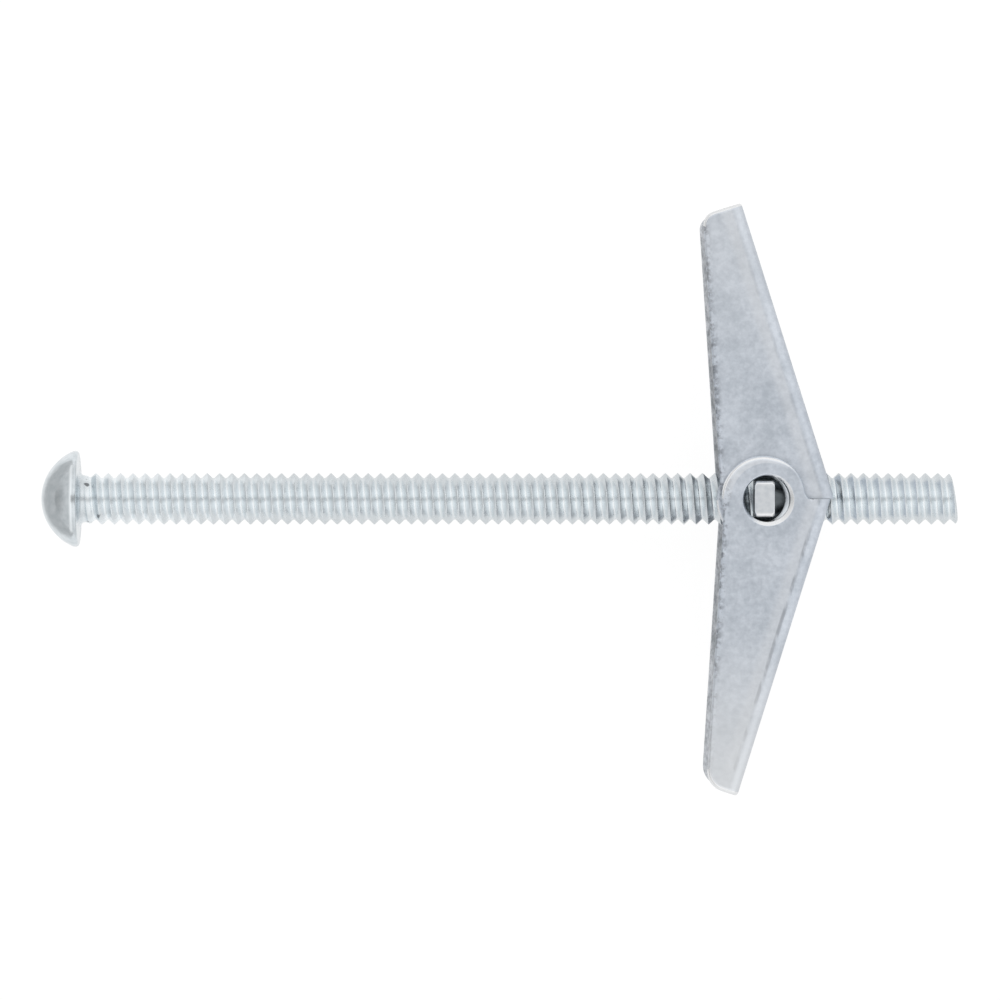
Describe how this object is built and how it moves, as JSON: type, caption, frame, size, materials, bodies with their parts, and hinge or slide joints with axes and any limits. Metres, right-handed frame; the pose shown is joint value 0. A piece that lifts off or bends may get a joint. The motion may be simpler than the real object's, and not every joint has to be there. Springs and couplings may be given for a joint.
{
  "type": "spring toggle bolt",
  "caption": "Slotted round-head machine screw with a pressed nut and a pair of sprung folding channel wings, for fixing to hollow walls and ceilings.",
  "frame": {"origin": "centre of the head's bearing seat, on the screw's axis", "axes": "+X along the screw from the head to the tip, +Y across the open wings towards the inner wing, +Z along the wings' pivot and up as the bolt lies"},
  "size_m": [0.0783, 0.0503, 0.0114],
  "materials": {
    "zinc_screw": "bright zinc plating",
    "zinc_nut": "bright zinc plating",
    "zinc_sheet": "pale blue-grey zinc plating, finely mottled",
    "spring_wire": "drawn spring wire"
  },
  "bodies": {
    "screw": {"screw": "zinc_screw"},
    "toggle_nut": {"trunnion_nut": "zinc_nut", "spring": "spring_wire"},
    "inner_wing": {"inner_wing": "zinc_sheet"},
    "outer_wing": {"outer_wing": "zinc_sheet"}
  },
  "joints": [
    {"name": "nut_travel", "type": "slide", "parent": "screw", "child": "toggle_nut", "axis": [1, 0, 0], "range_m": [-0.033, 0.0135]},
    {"name": "inner_wing_fold", "type": "hinge", "parent": "toggle_nut", "child": "inner_wing", "pos_m": [0.0582, 0, 0], "axis": [0, 0, 1], "range_deg": [0, 72], "stiffness_Nm_per_rad": 0.04, "springref_deg": -28.65, "deforming": ["spring"]},
    {"name": "outer_wing_fold", "type": "hinge", "parent": "toggle_nut", "child": "outer_wing", "pos_m": [0.0586, 0, 0], "axis": [0, 0, -1], "range_deg": [0, 72], "stiffness_Nm_per_rad": 0.04, "springref_deg": -28.65, "deforming": ["spring"]}
  ]
}
